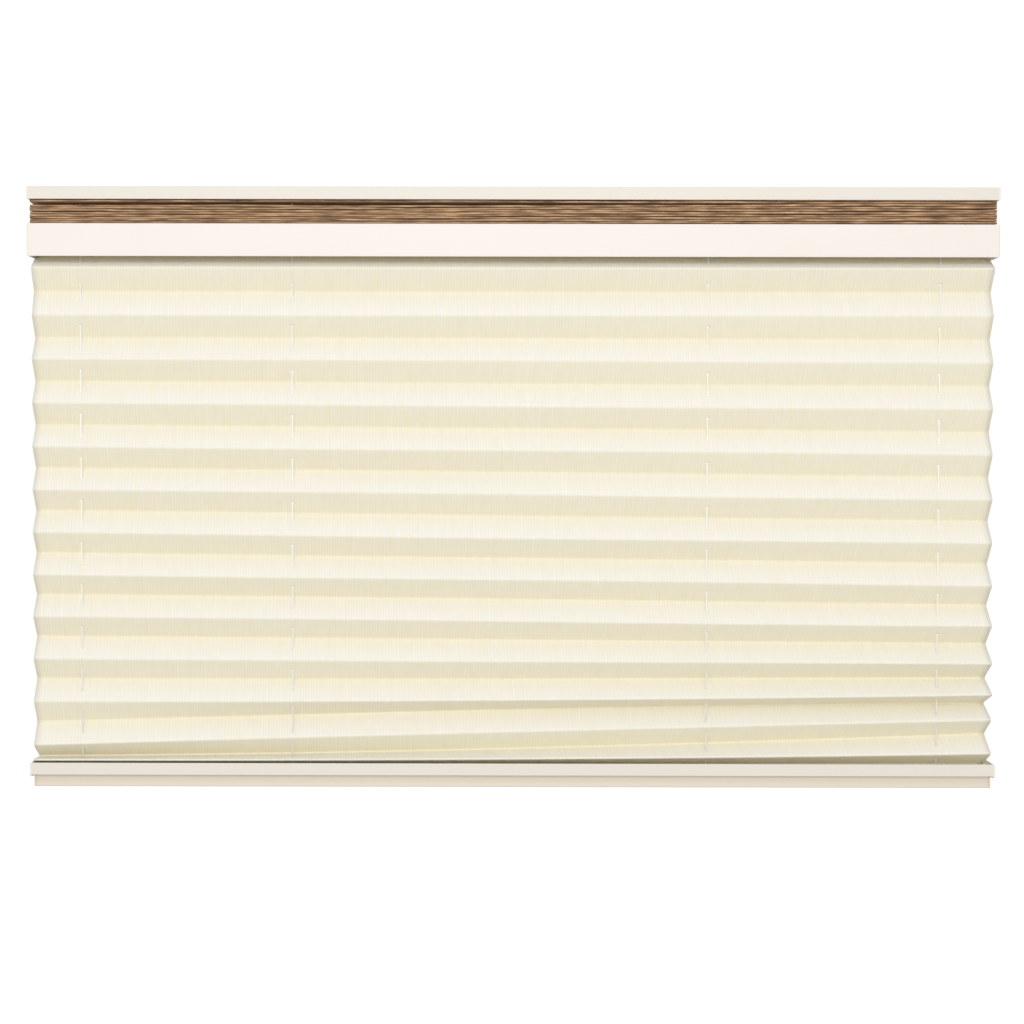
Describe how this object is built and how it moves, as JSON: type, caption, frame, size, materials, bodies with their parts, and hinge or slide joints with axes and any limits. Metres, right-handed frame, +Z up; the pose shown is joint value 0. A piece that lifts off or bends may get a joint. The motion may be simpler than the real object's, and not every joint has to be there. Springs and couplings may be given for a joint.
{
  "type": "pleated blind",
  "caption": "Day-and-night pleated blind: three aluminium rails, a dark pleated fabric folded up at the top and a cream pleated fabric open below, on four cords.",
  "frame": {"origin": "middle of the headrail's top face, over the middle of the pleats front to back", "axes": "+X along the rails, -Y towards the room, +Z up"},
  "size_m": [0.965, 0.041, 0.5985],
  "materials": {
    "rail": "satin powder-coated aluminium, warm off-white",
    "cap": "moulded, warm off-white",
    "guide": "moulded eyelet, natural white",
    "strip": "extruded, white",
    "day_cloth": "crimped polyester, cream, lets light through",
    "night_cloth": "woven polyester, brown, blocks light",
    "cord": "braided polyester, off-white",
    "spring": "bright spring wire"
  },
  "bodies": {
    "headrail": {"headrail": "rail", "headrail_left_cap": "cap", "headrail_right_cap": "cap", "headrail_cord_guides": "guide", "headrail_fabric_strip": "strip", "headrail_cords": "cord", "outer_cord_spring": "spring", "inner_cord_spring": "spring", "night_fabric": "night_cloth", "night_cords": "cord"},
    "mid_rail": {"mid_rail": "rail", "mid_rail_left_cap": "cap", "mid_rail_right_cap": "cap", "mid_rail_upper_guides": "guide", "mid_rail_lower_guides": "guide", "mid_rail_night_strip": "strip", "mid_rail_day_strip": "strip", "mid_rail_cords": "cord", "day_fabric": "day_cloth", "day_cords": "cord"},
    "bottom_rail": {"bottom_rail": "rail", "bottom_rail_left_cap": "cap", "bottom_rail_right_cap": "cap", "bottom_rail_cord_guides": "guide", "bottom_rail_fabric_strip": "strip", "bottom_rail_cords": "cord"}
  },
  "joints": [
    {"name": "mid_slide", "type": "slide", "parent": "headrail", "child": "mid_rail", "axis": [0, 0, 1], "range_m": [-0.481, 0], "deforming": ["night_fabric", "night_cords"]},
    {"name": "bottom_slide", "type": "slide", "parent": "mid_rail", "child": "bottom_rail", "axis": [0, 0, -1], "range_m": [-0.481, 0], "deforming": ["day_fabric", "day_cords"]}
  ]
}
